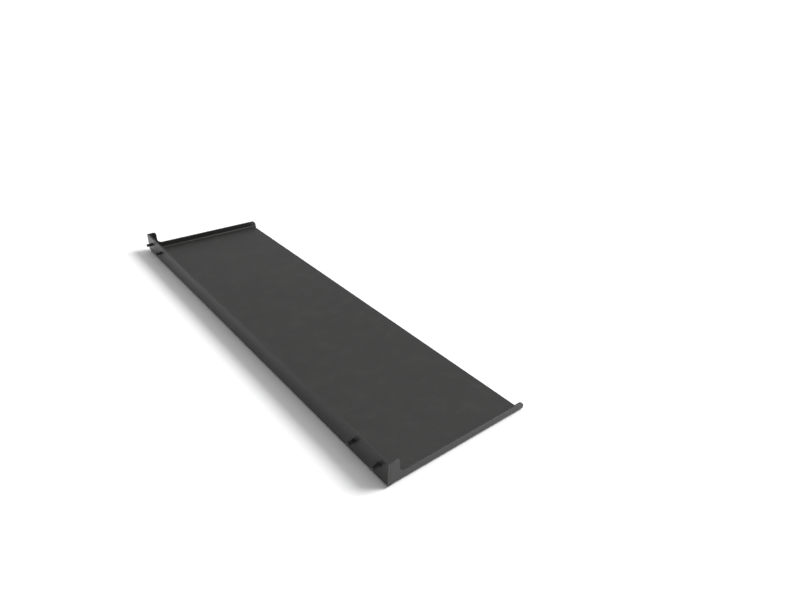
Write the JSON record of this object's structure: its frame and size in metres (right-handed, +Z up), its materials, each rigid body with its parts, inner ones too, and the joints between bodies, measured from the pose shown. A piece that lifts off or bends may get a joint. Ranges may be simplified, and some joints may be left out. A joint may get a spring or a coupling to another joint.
{
  "type": "leg-mounted computer tray",
  "caption": "Folded steel tray that carries a small tower computer beside a bench, with a tall screw flange, low end lips with rounded ears and an open side.",
  "frame": {"origin": "centre of the mounting flange's outer face", "axes": "+X away from the legs across the tray, +Y towards the back along the tray, +Z up"},
  "size_m": [0.2509, 0.8128, 0.0382],
  "materials": {
    "powder_coat": "dark charcoal satin powder coat with a fine texture",
    "coated_weld": "the same powder coat over a rippled weld bead",
    "screw_steel": "black oxide steel, lightly oiled",
    "washer_steel": "zinc-plated steel"
  },
  "bodies": {
    "root": {"tray": "powder_coat", "front_corner_weld": "coated_weld", "back_corner_weld": "coated_weld", "front_leg_screws": "screw_steel", "front_leg_lock_washers": "washer_steel", "front_leg_flat_washers": "washer_steel", "back_leg_screws": "screw_steel", "back_leg_lock_washers": "washer_steel", "back_leg_flat_washers": "washer_steel"}
  },
  "joints": []
}
